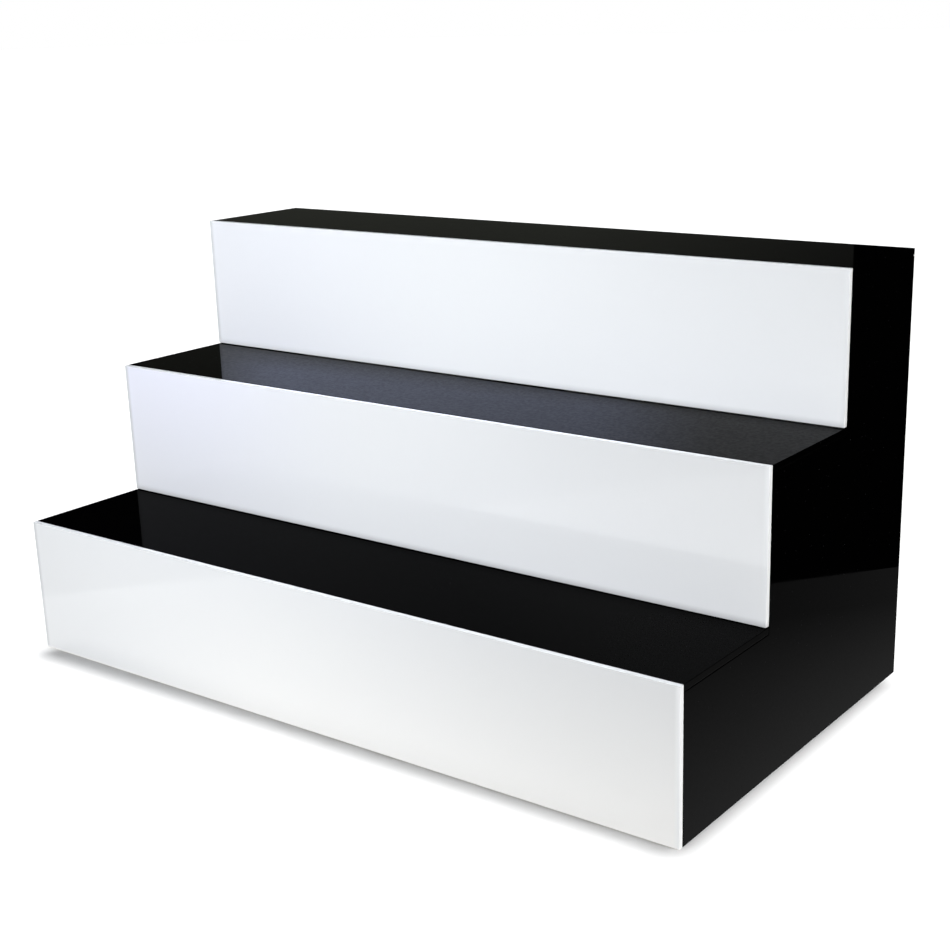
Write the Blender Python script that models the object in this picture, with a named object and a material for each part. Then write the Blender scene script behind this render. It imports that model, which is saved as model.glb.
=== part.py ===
"""Tiered bottle display stand: opal white risers and black treads bonded to stepped black side panels.

The back and the underside are open. Clear square bars are bonded into the inside corners and a stepped rib
carries the treads in the middle. Units are metres, +Z is up, the front faces -Y, and the origin lies on the
table under the middle of the stand.
"""

import bmesh
import bpy

# Steps
WIDTH = 0.610  # over the ends of the treads and risers
GOING = 0.110  # front of one riser to the front of the next
RISE = 0.110  # top of one tread to the top of the next, the first one from the table
TIERS = ("lower", "middle", "upper")

# Sheets
RISER_SHEET = 0.004
TREAD_SHEET = 0.005
SIDE_SHEET = 0.005
RIB_SHEET = 0.004
RAIL_SHEET = 0.005
RAIL_HEIGHT = 0.040

# Square bars in the inside corners
CLEAT = 0.008
BASE_BAR = 0.012

# Joints and edges
CEMENT = 0.0003  # cement line between two bonded faces
ARRIS = 0.0004  # flat polished onto each edge

# Foot
SHEET_FOOT = 0.0003  # table to the bottom edge of a sheet, so that the pads carry the stand
PAD_HEIGHT = 0.001
PAD_MARGIN = 0.001  # base bar left showing round a pad
PAD_INSET = 0.030  # side panel's inner face to the middle of a corner pad
PAD_SIDES = 32

# Values that follow from the sizes above
SIDES = {"left": -1, "right": 1}
LAST = len(TIERS) - 1
FRONT = -GOING * len(TIERS) / 2
REAR = -FRONT
BAR_FOOT = PAD_HEIGHT + CEMENT  # underside of every base bar
INNER = WIDTH / 2 - SIDE_SHEET  # inner face of a side panel, from the middle
BAR_END = INNER - CEMENT  # end of a bar or rail that runs between the side panels


def riser_front(tier):
    """Y of a riser's front face."""
    return FRONT + GOING * tier


def riser_seat(tier):
    """Y of whatever is bonded to a riser's back face."""
    return riser_front(tier) + RISER_SHEET + CEMENT


def tread_top(tier):
    """Z of the face that the bottles stand on."""
    return RISE * (tier + 1)


def tread_seat(tier):
    """Z of whatever is bonded to a tread's underside."""
    return tread_top(tier) - TREAD_SHEET - CEMENT


def tread_rear(tier):
    """Y of a tread's rear edge: flush with the back of the next riser, or with the stand's rear."""
    if tier == LAST:
        return REAR
    return riser_front(tier + 1) + RISER_SHEET


def heel_top(tier):
    """Z of the top of the bar behind a riser's foot: the base bar, or the heel bar on the tread below."""
    if tier == 0:
        return BAR_FOOT + BASE_BAR
    return tread_top(tier - 1) + CLEAT


def clear_scene():
    """Removes whatever the open scene holds."""
    for obj in list(bpy.data.objects):
        bpy.data.objects.remove(obj, do_unlink=True)


def acrylic(name, colour, roughness, transmission=0.0):
    """A Principled material for one kind of sheet, bar or pad."""
    material = bpy.data.materials.new(name)
    material.use_nodes = True
    shader = material.node_tree.nodes["Principled BSDF"]
    shader.inputs["Base Color"].default_value = (*colour, 1.0)
    shader.inputs["Roughness"].default_value = roughness
    shader.inputs["Metallic"].default_value = 0.0
    shader.inputs["IOR"].default_value = 1.49
    shader.inputs["Transmission Weight"].default_value = transmission
    return material


def add_piece(name, mesh_data, centre, finish, stand):
    """Makes a named object at its centre, with polished edges, under the stand's empty."""
    mesh = bpy.data.meshes.new(name)
    mesh_data.to_mesh(mesh)
    mesh_data.free()
    mesh.materials.append(finish)
    obj = bpy.data.objects.new(name, mesh)
    bpy.context.scene.collection.objects.link(obj)
    obj.parent = stand
    obj.location = centre
    edge = obj.modifiers.new("polished_edge", "BEVEL")
    edge.width = ARRIS
    edge.segments = 1
    edge.limit_method = "ANGLE"
    return obj


def add_block(name, x, y, z, finish, stand):
    """A rectangular sheet or bar that fills the given (low, high) spans."""
    spans = (x, y, z)
    centre = [(low + high) / 2 for low, high in spans]
    size = [high - low for low, high in spans]
    block = bmesh.new()
    bmesh.ops.create_cube(block, size=1.0)
    bmesh.ops.scale(block, vec=size, verts=block.verts)
    return add_piece(name, block, centre, finish, stand)


def add_profile(name, outline, x_middle, thickness, finish, stand):
    """A sheet cut to an outline of (y, z) points, centred on x_middle."""
    sheet = bmesh.new()
    corners = [sheet.verts.new((-thickness / 2, y, z)) for y, z in outline]
    face = sheet.faces.new(corners)
    grown = bmesh.ops.extrude_face_region(sheet, geom=[face])["geom"]
    moved = [item for item in grown if isinstance(item, bmesh.types.BMVert)]
    bmesh.ops.translate(sheet, vec=(thickness, 0.0, 0.0), verts=moved)
    bmesh.ops.recalc_face_normals(sheet, faces=sheet.faces)
    return add_piece(name, sheet, (x_middle, 0.0, 0.0), finish, stand)


def add_pad(name, x, y, finish, stand):
    """A round pad between the table and a base bar."""
    pad = bmesh.new()
    bmesh.ops.create_cone(
        pad,
        cap_ends=True,
        segments=PAD_SIDES,
        radius1=BASE_BAR / 2 - PAD_MARGIN,
        radius2=BASE_BAR / 2 - PAD_MARGIN,
        depth=PAD_HEIGHT,
    )
    obj = add_piece(name, pad, (x, y, PAD_HEIGHT / 2), finish, stand)
    obj.data.shade_smooth()
    obj.data.set_sharp_from_angle(angle=0.6)
    return obj


def side_outline():
    """The stepped outline of a side panel, behind the risers and under the treads."""
    points = [(riser_seat(0), SHEET_FOOT)]
    for tier in range(len(TIERS)):
        points.append((riser_seat(tier), tread_seat(tier)))
        step_end = REAR if tier == LAST else riser_seat(tier + 1)
        points.append((step_end, tread_seat(tier)))
    points.append((REAR, SHEET_FOOT))
    return points


def rib_outline():
    """The side panel's outline with notches round the bars and the rail that cross the rib."""
    points = []
    notch_floor = SHEET_FOOT
    foot_bar = BASE_BAR
    for tier in range(len(TIERS)):
        face = riser_seat(tier)
        bar_back = face + foot_bar + CEMENT
        bar_top = heel_top(tier) + CEMENT
        nosing_back = face + CLEAT + CEMENT
        nosing_under = tread_seat(tier) - CLEAT - CEMENT
        points += [(bar_back, notch_floor), (bar_back, bar_top), (face, bar_top)]
        points += [(face, nosing_under), (nosing_back, nosing_under), (nosing_back, tread_seat(tier))]
        notch_floor = tread_seat(tier)
        foot_bar = CLEAT
    rail_face = REAR - RAIL_SHEET - CEMENT
    rail_under = tread_seat(LAST) - RAIL_HEIGHT - CEMENT
    base_face = REAR - BASE_BAR - CEMENT
    base_top = BAR_FOOT + BASE_BAR + CEMENT
    points += [(rail_face, tread_seat(LAST)), (rail_face, rail_under), (REAR, rail_under)]
    points += [(REAR, base_top), (base_face, base_top), (base_face, SHEET_FOOT)]
    return points


def end_span(side, depth):
    """The X span of a piece of the given depth, bonded to the inner face of one side panel."""
    ends = sorted((side * BAR_END, side * (BAR_END - depth)))
    return tuple(ends)


def build_steps(black, opal, stand):
    """Risers, treads, side panels and the rear rail: the sheets that show."""
    full_width = (-WIDTH / 2, WIDTH / 2)
    for tier, name in enumerate(TIERS):
        riser_foot = SHEET_FOOT if tier == 0 else tread_top(tier - 1) + CEMENT
        riser_depth = (riser_front(tier), riser_front(tier) + RISER_SHEET)
        add_block(f"riser_{name}", full_width, riser_depth, (riser_foot, tread_top(tier)), opal, stand)
        tread_depth = (riser_seat(tier), tread_rear(tier))
        tread_height = (tread_top(tier) - TREAD_SHEET, tread_top(tier))
        add_block(f"tread_{name}", full_width, tread_depth, tread_height, black, stand)
    for name, side in SIDES.items():
        middle = side * (WIDTH - SIDE_SHEET) / 2
        add_profile(f"side_panel_{name}", side_outline(), middle, SIDE_SHEET, black, stand)
    rail_height = (tread_seat(LAST) - RAIL_HEIGHT, tread_seat(LAST))
    add_block("rear_top_rail", (-BAR_END, BAR_END), (REAR - RAIL_SHEET, REAR), rail_height, black, stand)


def build_step_bars(clear, stand):
    """The bars behind and under each step."""
    between = (-BAR_END, BAR_END)
    for tier, name in enumerate(TIERS):
        face = riser_seat(tier)
        behind = (face, face + CLEAT)
        under = (tread_seat(tier) - CLEAT, tread_seat(tier))
        add_block(f"nosing_bar_{name}", between, behind, under, clear, stand)
        if tier > 0:
            heel_height = (tread_top(tier - 1) - TREAD_SHEET, heel_top(tier))
            add_block(f"heel_bar_{name}", between, behind, heel_height, clear, stand)
        bearer_end = REAR - RAIL_SHEET - CEMENT if tier == LAST else tread_rear(tier)
        bearer_depth = (face + CLEAT + CEMENT, bearer_end)
        cleat_height = (heel_top(tier) + CEMENT, tread_seat(tier) - CLEAT - CEMENT)
        for side_name, side in SIDES.items():
            across = end_span(side, CLEAT)
            add_block(f"tread_bearer_{name}_{side_name}", across, bearer_depth, under, clear, stand)
            add_block(f"riser_cleat_{name}_{side_name}", across, behind, cleat_height, clear, stand)


def build_base(clear, pad_finish, stand):
    """The four base bars and the pads under the front and rear ones."""
    between = (-BAR_END, BAR_END)
    height = (BAR_FOOT, BAR_FOOT + BASE_BAR)
    front_bar = (riser_seat(0), riser_seat(0) + BASE_BAR)
    rear_bar = (REAR - BASE_BAR, REAR)
    add_block("base_bar_front", between, front_bar, height, clear, stand)
    add_block("base_bar_rear", between, rear_bar, height, clear, stand)
    side_bar = (front_bar[1] + CEMENT, rear_bar[0] - CEMENT)
    for name, side in SIDES.items():
        add_block(f"base_bar_{name}", end_span(side, BASE_BAR), side_bar, height, clear, stand)
    pad_places = {"left": PAD_INSET - INNER, "centre": 0.0, "right": INNER - PAD_INSET}
    for bar_name, bar in (("front", front_bar), ("rear", rear_bar)):
        for place, x in pad_places.items():
            add_pad(f"foot_pad_{bar_name}_{place}", x, sum(bar) / 2, pad_finish, stand)


def main():
    """Builds the whole stand."""
    clear_scene()
    stand = bpy.data.objects.new("stand", None)
    bpy.context.scene.collection.objects.link(stand)
    black = acrylic("black_acrylic", (0.006, 0.006, 0.007), 0.04)
    opal = acrylic("opal_acrylic", (0.88, 0.90, 0.93), 0.06)
    clear = acrylic("clear_acrylic", (0.93, 0.96, 0.96), 0.03, transmission=1.0)
    pad_finish = acrylic("clear_pad", (0.72, 0.74, 0.74), 0.45, transmission=0.4)
    build_steps(black, opal, stand)
    add_profile("centre_rib", rib_outline(), 0.0, RIB_SHEET, opal, stand)
    build_step_bars(clear, stand)
    build_base(clear, pad_finish, stand)


main()
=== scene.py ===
"""Looks of a tiered bottle display stand: polished black and opal white sheet, bonded, on a white floor."""

import logging
import math
from dataclasses import dataclass, field
from enum import Enum, IntEnum
from functools import cached_property
from typing import Any, Iterable

import bmesh
import bpy
from mathutils import Matrix, Vector


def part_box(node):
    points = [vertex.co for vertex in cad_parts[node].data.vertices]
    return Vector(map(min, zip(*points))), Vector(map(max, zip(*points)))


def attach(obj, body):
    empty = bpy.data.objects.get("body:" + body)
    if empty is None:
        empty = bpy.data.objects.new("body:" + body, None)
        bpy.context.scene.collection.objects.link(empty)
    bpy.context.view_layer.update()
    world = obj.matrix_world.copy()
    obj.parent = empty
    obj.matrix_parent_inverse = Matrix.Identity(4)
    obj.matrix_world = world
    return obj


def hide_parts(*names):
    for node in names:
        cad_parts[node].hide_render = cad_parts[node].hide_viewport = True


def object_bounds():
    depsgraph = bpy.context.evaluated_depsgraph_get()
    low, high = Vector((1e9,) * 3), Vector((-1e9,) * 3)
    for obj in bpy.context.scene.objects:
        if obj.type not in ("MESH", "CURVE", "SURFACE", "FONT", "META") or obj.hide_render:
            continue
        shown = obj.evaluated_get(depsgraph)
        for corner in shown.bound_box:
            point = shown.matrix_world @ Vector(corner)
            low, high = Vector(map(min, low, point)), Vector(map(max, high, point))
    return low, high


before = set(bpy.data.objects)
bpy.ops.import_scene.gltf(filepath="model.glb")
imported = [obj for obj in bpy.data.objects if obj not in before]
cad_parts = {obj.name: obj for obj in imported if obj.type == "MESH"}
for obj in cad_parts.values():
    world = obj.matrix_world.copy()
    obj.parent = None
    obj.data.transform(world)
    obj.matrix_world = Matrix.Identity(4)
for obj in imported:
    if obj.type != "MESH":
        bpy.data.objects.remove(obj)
cad_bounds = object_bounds()

LOG = logging.getLogger("bottle_stand")
BODY = "root"
MM = 0.001
BLACK = (0.0, 0.0, 0.0)
WHITE = (1.0, 1.0, 1.0)
ACRYLIC_IOR = 1.49
PLAIN_SPECULAR = 0.5  # the shader's own specular level, which leaves the gloss to the index of refraction
NOISE_SPAN = (0.3, 0.7)  # nearly all of a noise texture's readings lie between these
NOISE_MIDDLE = 0.5
RISING = (0.0, 1.0)
FALLING = (1.0, 0.0)
SQUARE_ON = 0.9  # a face whose unit normal has more than this along an axis looks along it

Colour = tuple[float, float, float]
Point = tuple[float, float, float]
Span = tuple[float, float]
Outline = list[tuple[float, float]]
Tones = tuple[Colour, Colour, Colour]
Shares = tuple[float, float, float]
Socket = bpy.types.NodeSocket
Material = bpy.types.Material
Object = bpy.types.Object
BMesh = bmesh.types.BMesh


class Tier(Enum):
    """The three steps, from the table up."""

    LOWER = "lower"
    MIDDLE = "middle"
    UPPER = "upper"

    @property
    def heel(self) -> str:
        """The node of the bar behind the foot of this step's riser."""
        return "base_bar_front" if self is Tier.LOWER else f"heel_bar_{self.value}"


class Side(Enum):
    """The two ends of the stand, with the sign of their X."""

    LEFT = -1
    RIGHT = 1

    @property
    def word(self) -> str:
        """The word that node names use for this end."""
        return self.name.lower()


class Axis(IntEnum):
    """The stand's axes, as coordinates number them."""

    ACROSS = 0
    BACK = 1
    UP = 2


class Slot(Enum):
    """The record's material slots."""

    BLACK = "black_acrylic"
    OPAL = "opal_acrylic"
    CLEAR = "clear_acrylic"
    PAD = "clear_pad"


class Shows(Enum):
    """How a piece of the set shows, with the kinds of ray that don't meet it."""

    FULLY = ()
    IN_MIRRORS = ("camera", "diffuse", "transmission", "shadow")
    AS_SHADOW = ("camera", "diffuse", "glossy", "transmission")


class Link(Enum):
    """Whether a lamp is joined to an object or kept off it."""

    ONLY = "INCLUDE"
    ALL_BUT = "EXCLUDE"


class NodeGraph:
    """A node tree, with short ways to add and join its nodes."""

    def __init__(self, tree: bpy.types.NodeTree) -> None:
        """Keeps the tree that the nodes go into."""
        self.tree = tree

    def add(self, kind: str, inputs: dict[Any, Any] | None = None, **settings: Any) -> bpy.types.Node:
        """Adds a node.

        Args:
            kind: the node's type.
            inputs: socket names or numbers with their values. A value that is a socket is linked.
            settings: the node's own properties.

        Returns:
            The new node.
        """
        node = self.tree.nodes.new(kind)
        for key, value in settings.items():
            setattr(node, key, value)
        for key, value in (inputs or {}).items():
            if isinstance(value, Socket):
                self.join(value, node.inputs[key])
            else:
                node.inputs[key].default_value = value
        return node

    def join(self, source: Socket, target: Socket) -> None:
        """Links two sockets."""
        self.tree.links.new(source, target)

    def math(self, operation: str, *values: Any) -> Socket:
        """The result of a Math node on numbers or sockets, given in order."""
        return self.add("ShaderNodeMath", dict(enumerate(values)), operation=operation).outputs[0]

    def seen(self) -> Socket:
        """A socket that is 1 for camera, mirror and glass rays.

        Returns:
            The socket.
        """
        ray = self.add("ShaderNodeLightPath").outputs
        mirror_or_glass = self.math("MAXIMUM", ray["Is Glossy Ray"], ray["Is Transmission Ray"])
        return self.math("MAXIMUM", ray["Is Camera Ray"], mirror_or_glass)


class ShaderGraph(NodeGraph):
    """A material's node tree, built round one Principled shader."""

    def __init__(self, name: str) -> None:
        """Makes a material that holds only an output and a Principled shader.

        Args:
            name: the material's name.
        """
        self.material = bpy.data.materials.new(name)
        self.material.use_nodes = True
        super().__init__(self.material.node_tree)
        self.tree.nodes.clear()
        output = self.add("ShaderNodeOutputMaterial")
        self.shader = self.add("ShaderNodeBsdfPrincipled")
        self.join(self.shader.outputs["BSDF"], output.inputs["Surface"])

    def ramp(self, value: Socket, span: Span, results: Span = RISING) -> Socket:
        """A smooth step from the first result to the last, while the value goes through the span."""
        inputs = {"Value": value, **dict(enumerate((*span, *results), start=1))}
        return self.add("ShaderNodeMapRange", inputs, interpolation_type="SMOOTHSTEP").outputs[0]

    def blend(self, factor: Socket, first: Any, second: Any) -> Socket:
        """A mix of two colours, given as colours or sockets. The factor is the share of the second."""
        low, high = (value if isinstance(value, Socket) else (*value, 1.0) for value in (first, second))
        return self.add("ShaderNodeMix", {0: factor, 6: low, 7: high}, data_type="RGBA").outputs[2]

    @cached_property
    def place(self) -> Socket:
        """The piece's own coordinates, in metres."""
        return self.add("ShaderNodeTexCoord").outputs["Object"]

    @cached_property
    def axes(self) -> Any:
        """The X, Y and Z of those coordinates, by name."""
        return self.add("ShaderNodeSeparateXYZ", {0: self.place}).outputs

    def noise(self, scale: float, detail: float = 3.0) -> Socket:
        """A noise texture's value."""
        inputs = {"Vector": self.place, "Scale": scale, "Detail": detail}
        return self.add("ShaderNodeTexNoise", inputs).outputs["Fac"]

    def reach(self, direction: Point) -> Socket:
        """How far a place on the piece lies in a direction."""
        inputs = {0: self.place, 1: direction}
        return self.add("ShaderNodeVectorMath", inputs, operation="DOT_PRODUCT").outputs["Value"]

    def drive(self, **sockets: Socket) -> None:
        """Links sockets to the shader's inputs, with _ for a space in each name."""
        for name, socket in sockets.items():
            self.join(socket, self.shader.inputs[name.replace("_", " ")])

    def finish(self, **values: Any) -> Material:
        """Sets what is the same all over on the shader's own inputs.

        Args:
            values: the inputs' values, with _ for a space in each name.

        Returns:
            The finished material.
        """
        for name, value in values.items():
            full = (*value, 1.0) if isinstance(value, tuple) else value
            self.shader.inputs[name.replace("_", " ")].default_value = full
        return self.material


@dataclass(frozen=True)
class DustAndSheenFilm:
    """A film of fine dust that also paints part of the tread's sheen. It sets in along a slanting line and
    lies to the right of it.
    """

    colour: Colour = (0.0025, 0.0025, 0.0025)
    start: Span = (-0.05, 0.2)
    grain: Span = (0.6, 1.4)
    grain_scale: float = 700.0

    def over(self, graph: ShaderGraph, body: Colour) -> Socket:
        """The colour of a sheet under the film.

        Args:
            graph: the material's tree.
            body: the sheet's colour without the film.

        Returns:
            The socket with the colour.
        """
        # The slanting start stands for the edge of the tread's sheen, painted into the colour along with the
        # dust.
        aslant = graph.math("ADD", graph.axes["X"], graph.axes["Y"])
        grain = graph.ramp(graph.noise(self.grain_scale, detail=2.0), NOISE_SPAN, self.grain)
        return graph.blend(graph.math("MULTIPLY", graph.ramp(aslant, self.start), grain), body, self.colour)


@dataclass(frozen=True)
class BlackAcrylic:
    """Polished black cast sheet, with a little handling haze, a few specks and a wiped, mottled sheen."""

    name: str
    ior: float
    mottle: float = 0.03
    film: DustAndSheenFilm | None = None
    body: Colour = (0.0003, 0.0003, 0.00035)
    speck: Colour = (0.012, 0.012, 0.013)
    gloss: Span = (0.02, 0.06)
    haze_span: Span = (0.35, 0.7)
    haze_scale: float = 14.0
    mottle_scale: float = 420.0
    speck_scale: float = 420.0
    speck_radius: float = 0.16
    speck_share: float = 0.02

    def specks(self, graph: ShaderGraph) -> Socket:
        """A socket that is 1 on a speck.

        Args:
            graph: the material's tree.

        Returns:
            The socket.
        """
        cells = graph.add("ShaderNodeTexVoronoi", {"Vector": graph.place, "Scale": self.speck_scale}).outputs
        near = graph.math("LESS_THAN", cells["Distance"], self.speck_radius)
        draw = graph.add("ShaderNodeSeparateColor", {0: cells["Color"]}).outputs[0]
        return graph.math("MULTIPLY", near, graph.math("LESS_THAN", draw, self.speck_share))

    def material(self) -> Material:
        """Builds the material.

        Returns:
            The new material.
        """
        graph = ShaderGraph(self.name)
        speck = self.specks(graph)
        haze = graph.ramp(graph.noise(self.haze_scale, detail=5.0), self.haze_span, self.gloss)
        body = self.film.over(graph, self.body) if self.film else self.body
        sheen = (PLAIN_SPECULAR - self.mottle, PLAIN_SPECULAR + self.mottle)
        graph.drive(
            Base_Color=graph.blend(speck, body, self.speck),
            Roughness=graph.math("MAXIMUM", haze, speck),
            Specular_IOR_Level=graph.ramp(graph.noise(self.mottle_scale), NOISE_SPAN, sheen),
        )
        return graph.finish(IOR=self.ior)


@dataclass(frozen=True)
class OpalAcrylic:
    """Opal white sheet that lets a little light through, with painted light and shade on its face and edges.
    """

    name: str
    half_width: float
    height: float
    # heads and feet: painted light and shade from head to foot. right_end, base, left_end and top: strips of
    # painted light and shade.
    heads: Tones
    feet: Tones
    right_end: Colour
    base: Colour
    base_width: float = 2.5 * MM
    # Painted shade: a dimmer left end and a dimmer top edge.
    left_end: Colour = (0.62, 0.64, 0.67)
    top: Colour = (0.62, 0.63, 0.65)
    left_span: Span = (-0.27, -0.02)
    right_span: Span = (0.0, 0.20)
    end_width: float = 5.0 * MM
    top_width: float = 0.6 * MM
    top_blur: float = 0.1 * MM
    top_slack: float = 0.001  # share of the height, so that the top edge doesn't read as another foot
    gloss: Span = (0.006, 0.02)
    cloud_scale: float = 6.0
    cloud_share: float = 0.10

    def along(self, graph: ShaderGraph, tones: Tones) -> Socket:
        """The tone along one edge of the sheet, from those at its left, in its middle and at its right."""
        tone = graph.blend(graph.ramp(graph.axes["X"], self.left_span), tones[0], tones[1])
        return graph.blend(graph.ramp(graph.axes["X"], self.right_span), tone, tones[2])

    def material(self) -> Material:
        """Builds the material.

        Returns:
            The new material.
        """
        graph = ShaderGraph(self.name)
        across = graph.axes["X"]
        cloud = graph.noise(self.cloud_scale)
        sheets_up = graph.math("DIVIDE", graph.axes["Z"], self.height)
        share = graph.math("FRACT", graph.math("SUBTRACT", sheets_up, self.top_slack))
        up = graph.math("MULTIPLY", share, self.height)
        cloudy = graph.math("SUBTRACT", cloud, NOISE_MIDDLE)
        tone = graph.math("MULTIPLY_ADD", cloudy, self.cloud_share, share)
        # Painted light and shade from foot to head, with a little random cloud in the tone.
        colour = graph.blend(tone, self.along(graph, self.feet), self.along(graph, self.heads))
        inner = self.half_width - self.end_width
        under_top = self.height - self.top_width
        # Strips of painted light and shade along both ends, the foot and the top edge.
        for reading, span, edge in (
            (across, (-inner, -self.half_width), self.left_end),
            (across, (inner, self.half_width), self.right_end),
            (up, (self.base_width, 0.0), self.base),
            (up, (under_top, under_top + self.top_blur), self.top),
        ):
            colour = graph.blend(graph.ramp(reading, span), colour, edge)
        graph.drive(Base_Color=colour, Roughness=graph.ramp(cloud, NOISE_SPAN, self.gloss))
        return graph.finish(IOR=ACRYLIC_IOR)


@dataclass(frozen=True)
class ClearAcrylic:
    """Clear square bar: polished long faces, sawn ends that are white and dull."""

    name: str
    tint: Colour = (0.93, 0.97, 0.97)
    sawn: Colour = (0.80, 0.83, 0.83)
    sawn_roughness: float = 0.5
    gloss: Span = (0.02, 0.10)
    streak_span: Span = (0.4, 0.8)
    streak_scale: float = 60.0

    def material(self) -> Material:
        """Builds the material.

        Returns:
            The new material.
        """
        graph = ShaderGraph(self.name)
        streak = graph.noise(self.streak_scale, detail=4.0)
        sawn = graph.add("ShaderNodeAttribute", attribute_name="sawn").outputs["Fac"]
        polish = graph.ramp(streak, self.streak_span, self.gloss)
        dull = graph.math("MULTIPLY_ADD", sawn, self.sawn_roughness, polish)
        graph.drive(Base_Color=graph.blend(sawn, self.tint, self.sawn), Roughness=dull)
        return graph.finish(IOR=ACRYLIC_IOR, Transmission_Weight=1.0)


@dataclass(frozen=True)
class ClearCement:
    """Set solvent cement: clear, with a few milky places."""

    name: str
    clear: Colour = (0.90, 0.93, 0.93)
    milky: Colour = (0.70, 0.73, 0.74)
    milk_span: Span = (0.45, 0.7)
    milk_scale: float = 90.0
    milk_roughness: float = 0.25
    roughness: float = 0.08
    transmission: float = 0.7

    def material(self) -> Material:
        """Builds the material.

        Returns:
            The new material.
        """
        graph = ShaderGraph(self.name)
        milk = graph.ramp(graph.noise(self.milk_scale), self.milk_span)
        dull = graph.math("MULTIPLY_ADD", milk, self.milk_roughness, self.roughness)
        graph.drive(Base_Color=graph.blend(milk, self.clear, self.milky), Roughness=dull)
        return graph.finish(IOR=ACRYLIC_IOR, Transmission_Weight=self.transmission)


@dataclass(frozen=True)
class SoftPad:
    """Clear soft pad, a little cloudy."""

    name: str
    body: Colour = (0.70, 0.72, 0.72)
    milk: Colour = (0.82, 0.83, 0.83)
    cloud_scale: float = 400.0
    cloud_roughness: float = 0.2
    roughness: float = 0.35
    transmission: float = 0.4

    def material(self) -> Material:
        """Builds the material.

        Returns:
            The new material.
        """
        graph = ShaderGraph(self.name)
        cloud = graph.noise(self.cloud_scale)
        dull = graph.math("MULTIPLY_ADD", cloud, self.cloud_roughness, self.roughness)
        graph.drive(Base_Color=graph.blend(cloud, self.body, self.milk), Roughness=dull)
        return graph.finish(IOR=ACRYLIC_IOR, Transmission_Weight=self.transmission)


class GeometryGraph(NodeGraph):
    """A Geometry Nodes tree with named inputs, turned into a plain mesh at the end."""

    def __init__(self, name: str) -> None:
        """Makes a tree with a geometry output.

        Args:
            name: the tree's name.
        """
        super().__init__(bpy.data.node_groups.new(name, "GeometryNodeTree"))
        self.identifiers: dict[str, str] = {}
        self.tree.interface.new_socket("Geometry", in_out="OUTPUT", socket_type="NodeSocketGeometry")
        self.start = self.add("NodeGroupInput")
        self.end = self.add("NodeGroupOutput")

    def input(self, name: str, kind: str) -> Socket:
        """Adds a named input.

        Args:
            name: the input's name.
            kind: its socket type, without the word NodeSocket.

        Returns:
            The socket that gives its value inside the tree.
        """
        socket = self.tree.interface.new_socket(name, in_out="INPUT", socket_type=f"NodeSocket{kind}")
        self.identifiers[name] = socket.identifier
        return self.start.outputs[name]

    def end_with(self, geometry: Socket, material: Socket) -> None:
        """Realizes the instances, sets the material and joins the result to the output.

        Args:
            geometry: the last geometry.
            material: the socket that gives the material.
        """
        real = self.add("GeometryNodeRealizeInstances", {0: geometry}).outputs[0]
        dressed = self.add("GeometryNodeSetMaterial", {"Geometry": real, "Material": material})
        self.join(dressed.outputs[0], self.end.inputs[0])

    def plain(self, obj: Object, values: dict[str, Any]) -> Object:
        """Runs the tree on an object and leaves a plain mesh there.

        Args:
            obj: the object whose mesh is replaced.
            values: the inputs' values by name.

        Returns:
            The same object.
        """
        modifier = obj.modifiers.new(self.tree.name, "NODES")
        modifier.node_group = self.tree
        for name, value in values.items():
            modifier[self.identifiers[name]] = value
        graph = bpy.context.evaluated_depsgraph_get()
        mesh = bpy.data.meshes.new_from_object(obj.evaluated_get(graph))
        mesh.name = obj.name
        obj.modifiers.remove(modifier)
        obj.data = mesh
        return obj


@dataclass(frozen=True)
class PolishedEdge:
    """The small round that polishing leaves on every cut edge."""

    radius: float = 0.45 * MM
    segments: int = 3

    def round_off(self, obj: Object) -> None:
        """Adds the round to a piece.

        Args:
            obj: the piece.
        """
        obj.data.shade_smooth()
        edge = obj.modifiers.new("polished_edge", "BEVEL")
        edge.width = self.radius
        edge.segments = self.segments
        edge.limit_method = "ANGLE"
        edge.harden_normals = True


POLISH = PolishedEdge()


def add_object(name: str, data: bpy.types.ID) -> Object:
    """Adds an object to the scene.

    Args:
        name: the object's name.
        data: its mesh, lamp or camera.

    Returns:
        The new object.
    """
    obj = bpy.data.objects.new(name, data)
    bpy.context.scene.collection.objects.link(obj)
    return obj


def add_mesh(name: str, shape: BMesh) -> Object:
    """Turns a bmesh into an object in the scene.

    Args:
        name: the object's name.
        shape: the bmesh, which is freed.

    Returns:
        The new object.
    """
    mesh = bpy.data.meshes.new(name)
    shape.to_mesh(mesh)
    shape.free()
    return add_object(name, mesh)


def one_face(corners: Iterable[Point]) -> BMesh:
    """A shape that is a single face.

    Args:
        corners: its corners in order.

    Returns:
        The new bmesh.
    """
    shape = bmesh.new()
    shape.faces.new([shape.verts.new(corner) for corner in corners])
    return shape


def block(name: str, low: Vector, high: Vector) -> Object:
    """A rectangular sheet or bar, with the faces at the ends of its length marked as sawn.

    Args:
        name: the object's name.
        low: its lowest corner.
        high: its highest corner.

    Returns:
        The new object.
    """
    size = high - low
    shape = bmesh.new()
    bmesh.ops.create_cube(shape, size=1.0)
    bmesh.ops.scale(shape, vec=size, verts=shape.verts)
    bmesh.ops.translate(shape, vec=(low + high) / 2, verts=shape.verts)
    length = max(range(3), key=lambda axis: size[axis])
    sawn = shape.faces.layers.float.new("sawn")
    shape.normal_update()
    for face in shape.faces:
        face[sawn] = float(abs(face.normal[length]) > SQUARE_ON)
    return add_mesh(name, shape)


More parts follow.
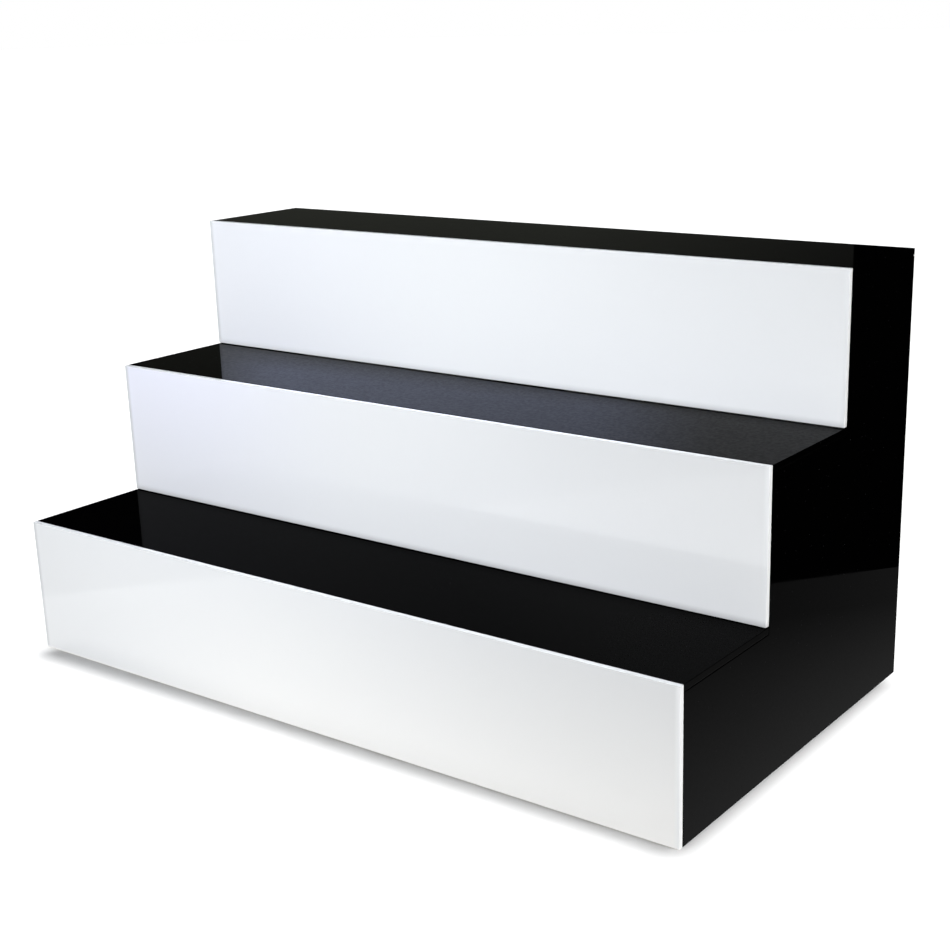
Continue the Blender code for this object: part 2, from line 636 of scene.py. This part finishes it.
def profile_sheet(name: str, outline: Outline, near: float, far: float) -> Object:
    """A sheet cut to an outline in the YZ plane.

    Args:
        name: the object's name.
        outline: its (y, z) corners in order.
        near: the X of one face.
        far: the X of the other face.

    Returns:
        The new object.
    """
    shape = one_face((near, y, z) for y, z in outline)
    grown = bmesh.ops.extrude_face_region(shape, geom=list(shape.faces))["geom"]
    moved = [item for item in grown if isinstance(item, bmesh.types.BMVert)]
    bmesh.ops.translate(shape, vec=(far - near, 0.0, 0.0), verts=moved)
    bmesh.ops.recalc_face_normals(shape, faces=shape.faces)
    return add_mesh(name, shape)


def join_frame(obj: Object, slot: Slot, nodes: Iterable[str] = ()) -> None:
    """Gives a piece its body, hides the CAD nodes that it stands for and logs its slot.

    Args:
        obj: the piece.
        slot: the record's slot for it.
        nodes: the nodes that it replaces.
    """
    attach(obj, BODY)
    if nodes:
        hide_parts(*nodes)
    LOG.info("%s: %d faces, %s", obj.name, len(obj.data.polygons), slot.value)


def dress(obj: Object, node: str, slot: Slot, *finishes: Material) -> None:
    """Gives a sheet or bar its finishes and polished edges, and sets it in place of its CAD node.

    Args:
        obj: the piece.
        node: the CAD node.
        slot: the record's slot for it.
        finishes: its materials, in the order of its faces' material numbers.
    """
    for finish in finishes:
        obj.data.materials.append(finish)
    POLISH.round_off(obj)
    join_frame(obj, slot, [node])


def add_to_set(name: str, shape: BMesh, shows: Shows, finish: Material | None = None) -> Object:
    """Adds a piece of the set round the stand.

    Args:
        name: the piece's name.
        shape: its bmesh, which is freed.
        shows: how it shows.
        finish: its material, if it is ever seen.

    Returns:
        The new object.
    """
    piece = add_mesh(name, shape)
    if finish:
        piece.data.materials.append(finish)
    for ray in shows.value:
        setattr(piece, f"visible_{ray}", False)
    return piece


@dataclass
class SettingOut:
    """The planes that the sheets share, read from the CAD nodes."""

    half_width: float
    step_height: float
    cement: float
    foot: float
    rear: float
    riser_seats: list[float]
    tread_seats: list[float]

    @classmethod
    def from_frame(cls) -> "SettingOut":
        """Reads the planes.

        Returns:
            The filled setting-out.
        """
        panel_low, panel_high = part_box("side_panel_right")
        risers = [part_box(f"riser_{tier.value}") for tier in Tier]
        treads = [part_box(f"tread_{tier.value}") for tier in Tier]
        cement = panel_low.y - risers[0][1].y
        return cls(
            half_width=risers[0][1].x,
            step_height=treads[0][1].z,
            cement=cement,
            foot=panel_low.z,
            rear=panel_high.y,
            riser_seats=[high.y + cement for _, high in risers],
            tread_seats=[low.z - cement for low, _ in treads],
        )


@dataclass(frozen=True)
class RiserShades:
    """How much painted light and shade makes a riser paler or dimmer in each place, as a share of the plain
    tone.

    Its head and its foot have three places each: left, middle and right. The last two shares say how much
    bluer the left of its head and of its foot are, as painted cool light.
    """

    heads: Shares
    feet: Shares
    right_end: float
    base: float
    head_blue: float
    foot_blue: float


@dataclass
class RiserOpals:
    """The opal finishes of the three risers and the rib, with painted light and shade as shares of the plain
    tone.
    """

    setting: SettingOut
    plain: Colour = (0.86, 0.88, 0.91)
    # Painted light along the lower riser's foot.
    bright: Colour = (0.975, 0.98, 0.985)
    # Width of the painted shade along the foot of the upper two risers.
    deep_base: float = 6.0 * MM
    # The lower riser's painted light and shade, at its head, its left foot and its right end.
    lower_heads: Shares = (-0.045, -0.08, -0.115)
    lower_left_foot: float = -0.04
    lower_right_end: float = 0.07
    # The upper two risers' painted light and shade; their left sides are painted bluer, as cool light.
    middle: RiserShades = RiserShades(
        heads=(-0.015, -0.015, -0.075),
        feet=(-0.06, 0.015, 0.045),
        right_end=0.03,
        base=-0.32,
        head_blue=0.10,
        foot_blue=0.025,
    )
    upper: RiserShades = RiserShades(
        heads=(-0.055, -0.055, -0.075),
        feet=(-0.03, 0.055, 0.08),
        right_end=-0.03,
        base=-0.20,
        head_blue=0.03,
        foot_blue=0.03,
    )
    rib_heads: Shares = (-0.03, -0.03, -0.03)
    rib_feet: Shares = (0.03, 0.03, 0.03)

    def tone(self, share: float, bluer: float = 0.0) -> Colour:
        """The plain tone, made paler, dimmer or bluer by shares of itself."""
        red, green, blue = self.plain
        return (red * (1.0 + share), green * (1.0 + share), blue * (1.0 + share + bluer))

    def tones(self, shares: Shares, left_bluer: float = 0.0) -> Tones:
        """The tones at the left, in the middle and at the right of an edge."""
        left, middle, right = shares
        return (self.tone(left, left_bluer), self.tone(middle), self.tone(right))

    def sheet(self, word: str, steps: int = 1, **places: Any) -> Material:
        """One sheet's finish, from its word in the name, its height in steps and its tones by place."""
        height = steps * self.setting.step_height
        return OpalAcrylic(f"opal_acrylic_{word}", self.setting.half_width, height, **places).material()

    def risers(self) -> dict[Tier, Material]:
        """The risers' finishes.

        The lower riser is bright along its foot with painted light from the table. The upper two stand on
        black treads and have painted shade along theirs.

        Returns:
            The materials by tier.
        """
        lower = self.sheet(
            Tier.LOWER.value,
            heads=self.tones(self.lower_heads),
            feet=(self.tone(self.lower_left_foot), self.bright, self.bright),
            right_end=self.tone(self.lower_right_end),
            base=self.bright,
        )
        finishes = {Tier.LOWER: lower}
        for tier, shades in ((Tier.MIDDLE, self.middle), (Tier.UPPER, self.upper)):
            finishes[tier] = self.sheet(
                tier.value,
                heads=self.tones(shades.heads, shades.head_blue),
                feet=self.tones(shades.feet, shades.foot_blue),
                right_end=self.tone(shades.right_end),
                base=self.tone(shades.base),
                base_width=self.deep_base,
            )
        return finishes

    def rib(self) -> Material:
        """The rib's finish, plain but for a slightly dimmer head.

        Returns:
            The new material.
        """
        return self.sheet(
            "rib",
            steps=len(Tier),
            heads=self.tones(self.rib_heads),
            feet=self.tones(self.rib_feet),
            left_end=self.plain,
            right_end=self.plain,
            base=self.plain,
        )


@dataclass
class Risers:
    """The three opal sheets at the front of the steps."""

    finishes: dict[Tier, Material]
    foot_gap: float = 0.3 * MM

    def build(self) -> None:
        """Builds and dresses every riser. The upper two clear the tread below by a thin dark line."""
        for tier in Tier:
            node = f"riser_{tier.value}"
            low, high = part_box(node)
            if tier is not Tier.LOWER:
                low.z += self.foot_gap
            dress(block(f"{node}_sheet", low, high), node, Slot.OPAL, self.finishes[tier])


@dataclass
class Treads:
    """The three black sheets that the bottles stand on."""

    finishes: dict[Tier, Material]
    ends: Material

    def build(self) -> None:
        """Builds and dresses every tread. Its ends are polished together with the side panels."""
        for tier in Tier:
            node = f"tread_{tier.value}"
            sheet = block(f"{node}_sheet", *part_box(node))
            for face in sheet.data.polygons:
                face.material_index = int(abs(face.normal.x) > SQUARE_ON)
            dress(sheet, node, Slot.BLACK, self.finishes[tier], self.ends)


@dataclass
class SidePanels:
    """The two stepped side panels."""

    setting: SettingOut
    black: Material

    def outline(self) -> Outline:
        """The stepped outline behind the risers and under the treads.

        Returns:
            Its (y, z) corners in order.
        """
        setting = self.setting
        ends = [*setting.riser_seats[1:], setting.rear]
        points = [(setting.riser_seats[0], setting.foot)]
        for start, end, top in zip(setting.riser_seats, ends, setting.tread_seats):
            points += [(start, top), (end, top)]
        return [*points, (setting.rear, setting.foot)]

    def build(self) -> None:
        """Builds and dresses both panels."""
        for side in Side:
            node = f"side_panel_{side.word}"
            low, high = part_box(node)
            sheet = profile_sheet(f"{node}_sheet", self.outline(), low.x, high.x)
            dress(sheet, node, Slot.BLACK, self.black)


@dataclass
class RearRail:
    """The black rail under the back of the top tread."""

    black: Material

    def build(self) -> None:
        """Builds and dresses the rail."""
        node = "rear_top_rail"
        dress(block(f"{node}_sheet", *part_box(node)), node, Slot.BLACK, self.black)


@dataclass
class CentreRib:
    """The opal rib that carries the treads in the middle, notched round the bars."""

    setting: SettingOut
    opal: Material

    def outline(self) -> Outline:
        """The stepped outline with its notches.

        Returns:
            Its (y, z) corners in order.
        """
        gap = self.setting.cement
        points: Outline = []
        floor = self.setting.foot
        for tier, face, seat in zip(Tier, self.setting.riser_seats, self.setting.tread_seats):
            heel_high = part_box(tier.heel)[1]
            nosing_low, nosing_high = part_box(f"nosing_bar_{tier.value}")
            points += [(heel_high.y + gap, floor), (heel_high.y + gap, heel_high.z + gap)]
            points += [(face, heel_high.z + gap), (face, nosing_low.z - gap)]
            points += [(nosing_high.y + gap, nosing_low.z - gap), (nosing_high.y + gap, seat)]
            floor = seat
        rail_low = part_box("rear_top_rail")[0]
        base_low, base_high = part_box("base_bar_rear")
        points += [(rail_low.y - gap, floor), (rail_low.y - gap, rail_low.z - gap)]
        points += [(self.setting.rear, rail_low.z - gap), (self.setting.rear, base_high.z + gap)]
        return [*points, (base_low.y - gap, base_high.z + gap), (base_low.y - gap, self.setting.foot)]

    def build(self) -> None:
        """Builds and dresses the rib."""
        node = "centre_rib"
        low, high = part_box(node)
        rib = profile_sheet(f"{node}_sheet", self.outline(), low.x, high.x)
        dress(rib, node, Slot.OPAL, self.opal)


@dataclass
class CornerBars:
    """The clear square bars in the inside corners and round the foot."""

    clear: Material

    def names(self) -> list[str]:
        """The bars' node names.

        Returns:
            The names.
        """
        names = [f"base_bar_{place}" for place in ("front", "rear", "left", "right")]
        for tier in Tier:
            names.append(f"nosing_bar_{tier.value}")
            if tier is not Tier.LOWER:
                names.append(f"heel_bar_{tier.value}")
            for side in Side:
                names += [f"{kind}_{tier.value}_{side.word}" for kind in ("tread_bearer", "riser_cleat")]
        return names

    def build(self) -> None:
        """Builds and dresses every bar."""
        for node in self.names():
            dress(block(f"{node}_clear", *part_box(node)), node, Slot.CLEAR, self.clear)


@dataclass
class FootPads:
    """The six round pads under the base bars, set on a grid by Geometry Nodes."""

    finish: Material
    bars: tuple[str, ...] = ("front", "rear")
    places: tuple[str, ...] = ("left", "centre", "right")
    sides: int = 40
    tip_share: float = 0.82

    def tree(self) -> GeometryGraph:
        """The node tree: a grid of points with a pad on each, a little narrower at the table.

        Returns:
            The tree.
        """
        graph = GeometryGraph("foot_pads")
        grid = {
            "Size X": graph.input("Spread across", "Float"),
            "Size Y": graph.input("Spread along", "Float"),
            "Vertices X": len(self.places),
            "Vertices Y": len(self.bars),
        }
        middle = graph.input("Middle", "Vector")
        radius = graph.input("Radius", "Float")
        cone = {
            "Vertices": self.sides,
            "Side Segments": 1,
            "Radius Top": radius,
            "Radius Bottom": graph.math("MULTIPLY", radius, self.tip_share),
            "Depth": graph.input("Height", "Float"),
        }
        points = graph.add("GeometryNodeMeshGrid", grid).outputs["Mesh"]
        placed = graph.add("GeometryNodeTransform", {"Geometry": points, "Translation": middle}).outputs[0]
        pad = graph.add("GeometryNodeMeshCone", cone).outputs["Mesh"]
        copies = graph.add("GeometryNodeInstanceOnPoints", {"Points": placed, "Instance": pad})
        graph.end_with(copies.outputs[0], graph.input("Finish", "Material"))
        return graph

    def build(self) -> None:
        """Builds and dresses the pads as one piece."""
        nodes = [f"foot_pad_{bar}_{place}" for bar in self.bars for place in self.places]
        low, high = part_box(nodes[0])
        first, last = (sum(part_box(node), Vector()) / 2 for node in (nodes[0], nodes[-1]))
        values = {
            "Spread across": last.x - first.x,
            "Spread along": last.y - first.y,
            "Middle": Vector((0.0, (first.y + last.y) / 2, low.z)),
            "Radius": (high.x - low.x) / 2,
            "Height": high.z - low.z,
            "Finish": self.finish,
        }
        pads = self.tree().plain(add_mesh("foot_pads", bmesh.new()), values)
        join_frame(pads, Slot.PAD, nodes)


@dataclass
class CementBeads:
    """The thin beads of set cement along the inside joints, swept by Geometry Nodes."""

    finish: Material
    radius: float = 0.55 * MM
    lean: float = 0.5  # share of the radius by which a bead stands out of its corner, each way
    sides: int = 8
    seams: list[tuple[Vector, Vector]] = field(default_factory=list)

    def seam(self, bar: str, corner: tuple[int, int, int], axis: Axis, opening: Point) -> None:
        """Keeps the joint along one edge of a bar. The rib splits a joint that runs across the stand.

        Args:
            bar: the bar's node.
            corner: where the edge starts, as 0 for low or 1 for high on each axis.
            axis: the axis that it runs along.
            opening: the way out of the corner, which the bead leans to.
        """
        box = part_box(bar)
        stretches = [(box[0][axis], box[1][axis])]
        if axis is Axis.ACROSS:
            rib_low, rib_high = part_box("centre_rib")
            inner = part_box("tread_bearer_lower_right")[0].x - self.radius
            stretches = [(-inner, rib_low.x - self.radius), (rib_high.x + self.radius, inner)]
        line = Vector([box[end][number] for number, end in enumerate(corner)])
        line += Vector(opening) * self.radius * self.lean
        for stretch in stretches:
            points = (line.copy(), line.copy())
            for point, at in zip(points, stretch):
                point[axis] = at
            self.seams.append(points)

    def at_ends(self, tier: Tier) -> None:
        """Keeps the joints of one tier's bearers and cleats.

        Args:
            tier: the tier.
        """
        for side in Side:
            inward = -float(side.value)
            outer, inner = (1, 0) if side is Side.RIGHT else (0, 1)
            bearer, cleat = (f"{kind}_{tier.value}_{side.word}" for kind in ("tread_bearer", "riser_cleat"))
            self.seam(bearer, (outer, 0, 0), Axis.BACK, (inward, 0.0, -1.0))
            self.seam(bearer, (inner, 0, 1), Axis.BACK, (inward, 0.0, -1.0))
            self.seam(cleat, (inner, 0, 0), Axis.UP, (inward, 1.0, 0.0))
            self.seam(cleat, (outer, 1, 0), Axis.UP, (inward, 1.0, 0.0))

    def collect(self) -> None:
        """Keeps every joint line that carries a bead."""
        for tier in Tier:
            self.seam(f"nosing_bar_{tier.value}", (0, 0, 0), Axis.ACROSS, (0.0, 1.0, -1.0))
            self.seam(f"nosing_bar_{tier.value}", (0, 1, 1), Axis.ACROSS, (0.0, 1.0, -1.0))
            self.seam(tier.heel, (0, 0, 1), Axis.ACROSS, (0.0, 1.0, 1.0))
            self.at_ends(tier)
        self.seam("rear_top_rail", (0, 0, 1), Axis.ACROSS, (0.0, -1.0, -1.0))

    def tree(self) -> GeometryGraph:
        """The node tree: a round tube along every line.

        Returns:
            The tree.
        """
        graph = GeometryGraph("cement_beads")
        lines = graph.input("Joints", "Geometry")
        circle = {"Resolution": self.sides, "Radius": graph.input("Radius", "Float")}
        ring = graph.add("GeometryNodeCurvePrimitiveCircle", circle).outputs["Curve"]
        paths = graph.add("GeometryNodeMeshToCurve", {"Mesh": lines}).outputs[0]
        sweep = {"Curve": paths, "Profile Curve": ring, "Fill Caps": True}
        tube = graph.add("GeometryNodeCurveToMesh", sweep).outputs[0]
        smooth = graph.add("GeometryNodeSetShadeSmooth", {"Geometry": tube})
        graph.end_with(smooth.outputs[0], graph.input("Finish", "Material"))
        return graph

    def build(self) -> None:
        """Builds and dresses the beads as one piece."""
        self.collect()
        lines = bmesh.new()
        for start, end in self.seams:
            lines.edges.new((lines.verts.new(start), lines.verts.new(end)))
        values = {"Radius": self.radius, "Finish": self.finish}
        beads = self.tree().plain(add_mesh("cement_beads", lines), values)
        join_frame(beads, Slot.CLEAR)


@dataclass(frozen=True)
class Lamp:
    """One soft studio lamp."""

    name: str
    place: Point
    size: Span
    power: float
    colour: Colour
    mirrored: bool = True
    target: Point = (0.0, 0.0, 0.17)

    def build(self) -> Object:
        """Adds the lamp, aimed at its target.

        Returns:
            The lamp's object.
        """
        data = bpy.data.lights.new(self.name, "AREA")
        data.shape = "RECTANGLE"
        data.size, data.size_y = self.size
        data.energy = self.power
        data.color = self.colour
        lamp = add_object(self.name, data)
        lamp.location = self.place
        aim = Vector(self.target) - Vector(self.place)
        lamp.rotation_euler = aim.to_track_quat("-Z", "Y").to_euler()
        lamp.visible_glossy = self.mirrored
        return lamp


@dataclass(frozen=True)
class OverheadLamp:
    """A large lamp far above, which may stand a little behind the stand or to its left."""

    name: str
    strength: float
    behind_deg: float
    left_deg: float = 0.0
    spread_deg: float = 13.0

    def build(self) -> Object:
        """Adds the lamp.

        Returns:
            The lamp's object.
        """
        data = bpy.data.lights.new(self.name, "SUN")
        data.energy = self.strength
        data.angle = math.radians(self.spread_deg)
        lamp = add_object(self.name, data)
        lamp.rotation_euler = (-math.radians(self.behind_deg), -math.radians(self.left_deg), 0.0)
        return lamp


@dataclass
class PhotoCamera:
    """The camera at the photograph's viewpoint."""

    place: Point = (0.74002, -0.91785, 0.49326)
    azimuth_deg: float = 36.558
    pitch_deg: float = -16.807
    roll_deg: float = -1.453
    lens_mm: float = 59.49
    sensor_mm: float = 36.0
    shift: Span = (-0.0368, 0.0211)

    def build(self) -> None:
        """Adds the camera and makes it the scene's own."""
        data = bpy.data.cameras.new("photo_camera")
        data.lens = self.lens_mm
        data.sensor_width = self.sensor_mm
        data.shift_x, data.shift_y = self.shift
        camera = add_object("photo_camera", data)
        turn = Matrix.Rotation(math.radians(self.azimuth_deg), 4, "Z")
        tip = Matrix.Rotation(math.radians(90.0 + self.pitch_deg), 4, "X")
        roll = Matrix.Rotation(math.radians(self.roll_deg), 4, "Z")
        camera.matrix_world = Matrix.Translation(self.place) @ turn @ tip @ roll
        bpy.context.scene.camera = camera


@dataclass(frozen=True)
class Upright:
    """A card that stands along the paper. Its foot slopes from its height at the middle of the paper."""

    across: float
    ends: Span
    foot: float
    slope: float
    height: float

    def corners(self) -> list[Point]:
        """The card's corners.

        Returns:
            Each corner as (across, along, height).
        """
        foot = [(end, self.foot + self.slope * end) for end in self.ends]
        head = [(along, low + self.height) for along, low in reversed(foot)]
        return [(self.across, *place) for place in (*foot, *head)]


@dataclass
class PaperStrip:
    """The white paper that the stand is photographed on, as its polished sheets mirror it.

    The paper runs away from the camera, bends up behind the stand into a dim backdrop, and the room on both
    sides of it is dark. These cards show in mirrors only: the floor is what the camera and the light see.
    Distances across count to the right from the middle, and distances along count away from the camera.
    """

    turn_deg: float = 37.2
    reach: float = 6.0
    lift: float = 0.4 * MM
    left_edge: float = -0.47
    left_fade: float = 0.43
    left_light: Colour = (0.7, 0.7, 0.7)
    right_start: float = 0.10
    right_edge: float = 0.557
    right_span: Span = (0.16, 0.48)
    right_lights: tuple[Colour, Colour] = ((1.1, 1.1, 1.1), (0.26, 0.26, 0.26))
    backdrop_along: float = 1.05
    backdrop_height: float = 1.4
    backdrop_span: Span = (0.15, 0.55)
    backdrop_lights: tuple[Colour, Colour] = ((0.074, 0.078, 0.066), (0.030, 0.031, 0.028))
    room_radius: float = 7.0
    room_height: float = 5.0
    room_sides: int = 48
    window: Upright = Upright(across=-3.0, ends=(0.05, -1.55), foot=0.74, slope=-0.20, height=0.24)
    window_light: Colour = (13.0, 15.5, 25.5)
    window_full: Span = (-0.25, -1.05)
    window_soft: float = 0.08
    flag: Upright = Upright(across=-0.85, ends=(0.20, -0.80), foot=0.164, slope=-0.27, height=0.20)

    def point(self, across: float, along: float, height: float) -> Point:
        """A place in the stand's own frame, from its distances across and along the paper and its height."""
        return tuple(Matrix.Rotation(math.radians(self.turn_deg), 3, "Z") @ Vector((across, along, height)))

    def glow(self, graph: ShaderGraph, colour: Socket) -> Material:
        """Leaves a card nothing but its own light, and gives its material."""
        graph.drive(Emission_Color=colour)
        return graph.finish(Base_Color=BLACK, Specular_IOR_Level=0.0, Emission_Strength=1.0)

    def fading(self, name: str, span: Span, first: Colour, last: Colour) -> Material:
        """A card's light that changes across the paper.

        Args:
            name: the material's name.
            span: the distances across at which the light starts and stops changing.
            first: the light up to the first distance.
            last: the light from the last distance on.

        Returns:
            The new material.
        """
        graph = ShaderGraph(name)
        across = graph.reach(self.point(1.0, 0.0, 0.0))
        share = graph.add("ShaderNodeMapRange", {"Value": across, 1: span[0], 2: span[1]}).outputs[0]
        return self.glow(graph, graph.blend(share, first, last))

    def dark(self, name: str) -> Material:
        """The black of a card that gives no light."""
        return ShaderGraph(name).finish(Base_Color=BLACK, Specular_IOR_Level=0.0)

    def window_glow(self) -> Material:
        """The light of a cool window, bright in its middle and soft all round.

        Returns:
            The new material.
        """
        window = self.window
        graph = ShaderGraph("cool_window")
        along = graph.reach(self.point(0.0, 1.0, 0.0))
        sill = graph.math("MULTIPLY_ADD", along, window.slope, window.foot)
        up = graph.math("SUBTRACT", graph.axes["Z"], sill)
        (near_end, far_end), (near, far) = window.ends, self.window_full
        share = graph.ramp(along, (near, near_end), FALLING)
        for reading, span, results in (
            (along, (far_end, far), RISING),
            (up, (0.0, self.window_soft), RISING),
            (up, (window.height - self.window_soft, window.height), FALLING),
        ):
            share = graph.math("MULTIPLY", share, graph.ramp(reading, span, results))
        return self.glow(graph, graph.blend(share, BLACK, self.window_light))

    def card(self, places: Iterable[Point], material: Material) -> None:
        """Adds a card that shows in mirrors only, with its material's name.

        Args:
            places: its corners, each as (across, along, height).
            material: its light.
        """
        shape = one_face(self.point(*place) for place in places)
        add_to_set(material.name, shape, Shows.IN_MIRRORS, material)

    def flat(self, low: float, high: float, material: Material) -> None:
        """Adds a card that lies on the floor between two distances across."""
        ends = ((low, -self.reach), (high, -self.reach), (high, self.reach), (low, self.reach))
        self.card([(across, along, self.lift) for across, along in ends], material)

    def backdrop(self) -> None:
        """Adds the dim paper that stands up behind the stand."""
        rise = ((self.left_edge, 0.0), (self.right_edge, 0.0), (self.right_edge, 1.0), (self.left_edge, 1.0))
        corners = [(across, self.backdrop_along, share * self.backdrop_height) for across, share in rise]
        self.card(corners, self.fading("paper_backdrop", self.backdrop_span, *self.backdrop_lights))

    def room(self) -> None:
        """Adds the dark walls of the room, all round."""
        walls = bmesh.new()
        radii = {"radius1": self.room_radius, "radius2": self.room_radius}
        bmesh.ops.create_cone(walls, segments=self.room_sides, depth=self.room_height, **radii)
        bmesh.ops.translate(walls, vec=(0.0, 0.0, self.room_height / 2), verts=walls.verts)
        add_to_set("dark_room", walls, Shows.IN_MIRRORS, self.dark("dark_room"))

    def build(self) -> None:
        """Adds every card. The black flag keeps the window off the top edge of the lower riser."""
        fade = (self.left_edge - self.left_fade, self.left_edge)
        self.flat(-self.reach, self.left_edge, self.fading("paper_left", fade, BLACK, self.left_light))
        self.flat(self.right_edge, self.reach, self.dark("dark_room_right"))
        falling = self.fading("paper_right", self.right_span, *self.right_lights)
        self.flat(self.right_start, self.right_edge, falling)
        self.backdrop()
        self.card(self.window.corners(), self.window_glow())
        self.card(self.flag.corners(), self.dark("flag"))
        self.room()


@dataclass
class Studio:
    """Floor, lamps and surroundings. One lamp lights the floor alone, and the others all but the floor."""

    floor_reach: float = 40.0
    floor_seen: Colour = (0.92, 0.92, 0.92)
    floor_bounce: Colour = (0.267, 0.256, 0.217)
    floor_lift: Colour = (0.02, 0.02, 0.02)
    sky_strength: float = 0.14
    shade_height: float = 0.135
    shade_setback: Span = (-2.0 * MM, 5.0 * MM)
    cool: Colour = (0.90, 0.945, 1.0)
    warm: Colour = (1.0, 0.985, 0.97)
    floor_lamp: OverheadLamp = OverheadLamp("overhead_floor", strength=4.1, behind_deg=7.6, left_deg=1.5)
    stand_lamp: OverheadLamp = OverheadLamp("overhead", strength=1.25, behind_deg=8.0)

    def floor(self) -> Object:
        """Adds a pale floor that looks white and gives back a plain amount of light.

        Returns:
            The floor's object.
        """
        graph = ShaderGraph("studio_floor")
        seen = graph.seen()
        graph.drive(
            Base_Color=graph.blend(seen, BLACK, self.floor_seen),
            Emission_Color=graph.blend(seen, self.floor_bounce, self.floor_lift),
        )
        pale = graph.finish(Roughness=1.0, Specular_IOR_Level=0.0, Emission_Strength=1.0)
        pale.cycles.emission_sampling = "NONE"
        shape = bmesh.new()
        bmesh.ops.create_grid(shape, x_segments=1, y_segments=1, size=self.floor_reach)
        return add_to_set("studio_floor", shape, Shows.FULLY, pale)

    def shade(self) -> Object:
        """Adds a card over the stand's foot that draws the floor's short soft shadow and is never seen.

        Its front corners are set back by unlike amounts, because the shadow is longer at the left.

        Returns:
            The card's object.
        """
        (left, front, _), (right, back, _) = cad_bounds
        front_left, front_right = (front + setback for setback in self.shade_setback)
        corners = ((left, front_left), (right, front_right), (right, back), (left, back))
        shape = one_face((x, y, self.shade_height) for x, y in corners)
        return add_to_set("floor_shade", shape, Shows.AS_SHADOW)

    def linked(self, obj: Object, link: Link) -> bpy.types.Collection:
        """A collection that joins a lamp to one object, or keeps it off that object.

        Args:
            obj: the object.
            link: which of the two.

        Returns:
            The collection that a lamp takes as its receivers or as what blocks it.
        """
        group = bpy.data.collections.new(f"{obj.name}_{link.name.lower()}")
        group.objects.link(obj)
        group.collection_objects[0].light_linking.link_state = link.value
        return group

    def surroundings(self) -> None:
        """Makes the world white where it is seen, and a soft pale sky as a light."""
        world = bpy.data.worlds.new("studio")
        bpy.context.scene.world = world
        world.use_nodes = True
        graph = NodeGraph(world.node_tree)
        sky = graph.tree.nodes["Background"]
        white = graph.add("ShaderNodeBackground")
        for background, strength in ((sky, self.sky_strength), (white, 1.0)):
            background.inputs["Color"].default_value = (*WHITE, 1.0)
            background.inputs["Strength"].default_value = strength
        choice = {0: graph.seen(), 1: sky.outputs[0], 2: white.outputs[0]}
        mix = graph.add("ShaderNodeMixShader", choice)
        graph.join(mix.outputs[0], graph.tree.nodes["World Output"].inputs["Surface"])

    def softboxes(self) -> list[Lamp]:
        """The soft lamps round the stand.

        Returns:
            The lamps.
        """
        return [
            Lamp("front_softbox", (0.0, -2.989, 0.431), (1.2, 0.5), 37.1, self.warm),
            Lamp("near_softbox", (-0.190, -0.709, 0.326), (0.35, 0.25), 1.42, self.cool, mirrored=False),
            Lamp("top_softbox", (-0.154, -0.267, 1.016), (0.5, 0.4), 6.50, self.cool),
            Lamp("right_softbox", (2.1, -0.1, 0.6), (0.5, 0.8), 30.0, self.warm, mirrored=False),
        ]

    def light(self, floor: Object, shade: Object) -> None:
        """Adds every lamp and links it.

        Args:
            floor: the floor.
            shade: the card that draws the floor's shadow.
        """
        links = self.floor_lamp.build().light_linking
        links.receiver_collection = self.linked(floor, Link.ONLY)
        links.blocker_collection = self.linked(shade, Link.ONLY)
        off_floor = self.linked(floor, Link.ALL_BUT)
        past_shade = self.linked(shade, Link.ALL_BUT)
        for lamp in (self.stand_lamp, *self.softboxes()):
            links = lamp.build().light_linking
            links.receiver_collection = off_floor
            links.blocker_collection = past_shade

    def build(self) -> None:
        """Builds the whole set."""
        floor, shade = self.floor(), self.shade()
        PaperStrip().build()
        self.surroundings()
        self.light(floor, shade)
        PhotoCamera().build()


def main() -> None:
    """Builds the stand and its set."""
    logging.basicConfig(level=logging.INFO, format="%(name)s: %(message)s")
    bpy.context.scene.view_settings.view_transform = "Standard"
    setting = SettingOut.from_frame()
    side_black = BlackAcrylic("black_acrylic_sides", ior=1.073).material()
    tread_finishes = (
        # The lower tread's film is dust with part of its sheen painted in.
        BlackAcrylic("black_acrylic_lower_tread", ior=1.028, film=DustAndSheenFilm()),
        BlackAcrylic("black_acrylic_middle_tread", ior=1.047, mottle=0.12),
        BlackAcrylic("black_acrylic_upper_tread", ior=1.06, mottle=0.08),
    )
    tread_black = {tier: finish.material() for tier, finish in zip(Tier, tread_finishes)}
    opal = RiserOpals(setting)
    clear = ClearAcrylic("clear_acrylic").material()
    Risers(opal.risers()).build()
    Treads(tread_black, side_black).build()
    SidePanels(setting, side_black).build()
    RearRail(side_black).build()
    CentreRib(setting, opal.rib()).build()
    CornerBars(clear).build()
    FootPads(SoftPad("clear_pad").material()).build()
    CementBeads(ClearCement("clear_cement").material()).build()
    Studio().build()


if __name__ == "__main__":
    main()
